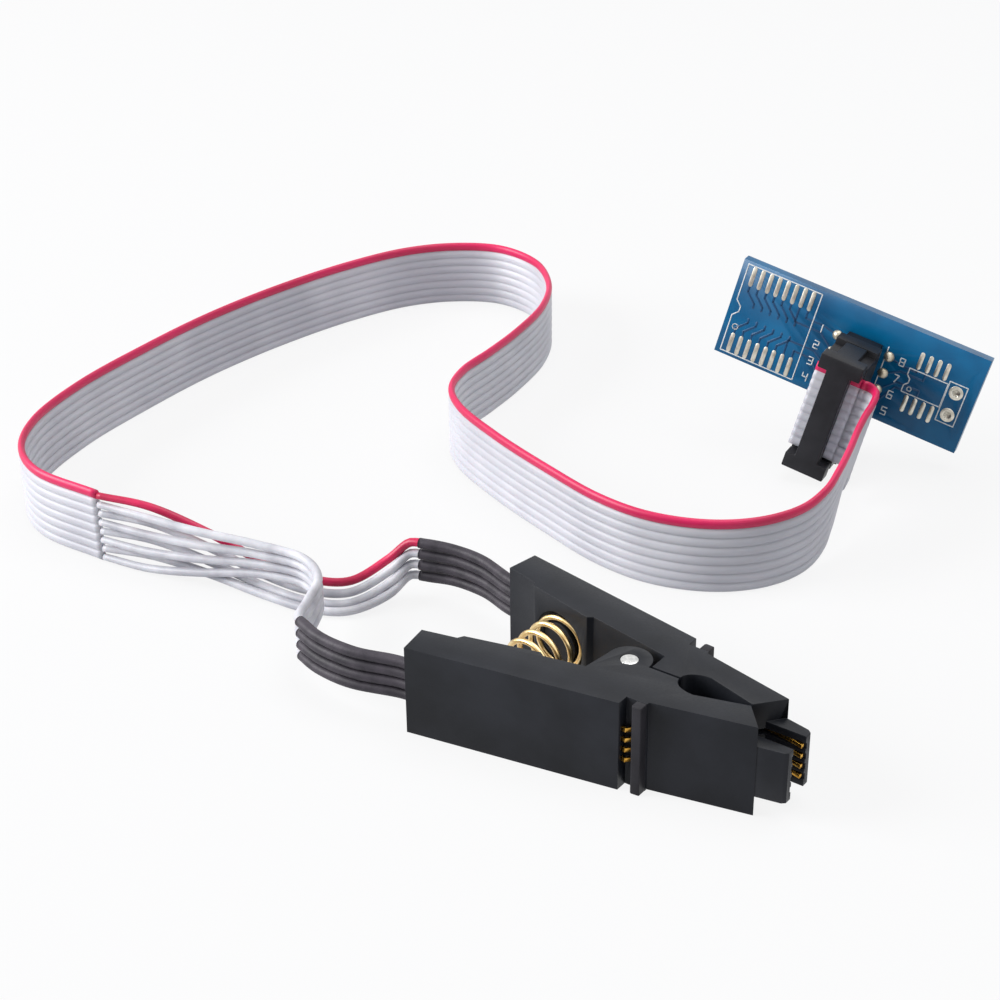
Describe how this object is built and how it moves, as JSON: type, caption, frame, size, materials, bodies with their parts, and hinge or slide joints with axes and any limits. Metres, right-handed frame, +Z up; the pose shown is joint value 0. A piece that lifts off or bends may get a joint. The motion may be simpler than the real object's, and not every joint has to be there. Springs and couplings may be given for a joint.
{
  "type": "ic test clip",
  "caption": "Spring test clip that grips a surface mount chip, with its ribbon cable and a plug-in adapter board",
  "frame": {"origin": "under the middle of the clip, on the surface it lies on; the cable and the board don't count", "axes": "+Z up along the pivot pin, +X towards the nose, so the two jaws lie at -Y (front) and +Y (rear)"},
  "size_m": [0.1252, 0.1045, 0.0255],
  "materials": {
    "jaw_plastic": "moulded, fine satin",
    "keeper_plastic": "moulded, fine satin",
    "pin_steel": "ground pin, bright end",
    "spring_wire": "gold coloured spring wire",
    "contact_gold": "gold plated strip",
    "heat_shrink": "shrunk tube, satin",
    "cable_pvc": "soft grey ribbon cable",
    "wire_pvc": "soft pale insulation",
    "red_wire_pvc": "soft crimson insulation",
    "connector_plastic": "moulded, satin",
    "connector_brass": "tinned fork contacts",
    "board_laminate": "blue solder mask",
    "header_plastic": "moulded strip",
    "header_brass": "plated square pins",
    "turned_pin": "plated round pins",
    "solder": "bright solder joints"
  },
  "bodies": {
    "front_half": {"front_jaw": "jaw_plastic", "front_contacts": "contact_gold", "front_keeper": "keeper_plastic", "pivot_pin": "pin_steel", "spring": "spring_wire", "front_sleeves": "heat_shrink", "front_wire_1": "wire_pvc", "front_wire_2": "wire_pvc", "front_wire_3": "wire_pvc", "front_wire_4": "wire_pvc", "rear_wire_1": "red_wire_pvc", "rear_wire_2": "wire_pvc", "rear_wire_3": "wire_pvc", "rear_wire_4": "wire_pvc", "ribbon": "cable_pvc", "spare_conductors": "cable_pvc", "ribbon_end": "cable_pvc", "idc_body": "connector_plastic", "idc_cover": "connector_plastic", "idc_contacts": "connector_brass"},
    "rear_half": {"rear_jaw": "jaw_plastic", "rear_contacts": "contact_gold", "rear_keeper": "keeper_plastic", "rear_sleeves": "heat_shrink"},
    "adapter_board": {"board": "board_laminate", "header_base": "header_plastic", "header_pins": "header_brass", "dip_strip_left": "header_plastic", "dip_strip_right": "header_plastic", "dip_pins": "turned_pin", "dip_solder": "solder"}
  },
  "joints": [
    {"name": "clip_hinge", "type": "hinge", "parent": "front_half", "child": "rear_half", "pos_m": [0.0005, 0, 0.00555], "axis": [0, 0, 1], "range_deg": [0, 22], "stiffness_Nm_per_rad": 0.04, "springref_deg": -51.57, "deforming": ["spring", "rear_wire_1", "rear_wire_2", "rear_wire_3", "rear_wire_4"]},
    {"name": "board_pull", "type": "slide", "parent": "front_half", "child": "adapter_board", "axis": [-0.1938, 0.9774, -0.0846], "range_m": [0, 0.008]}
  ]
}
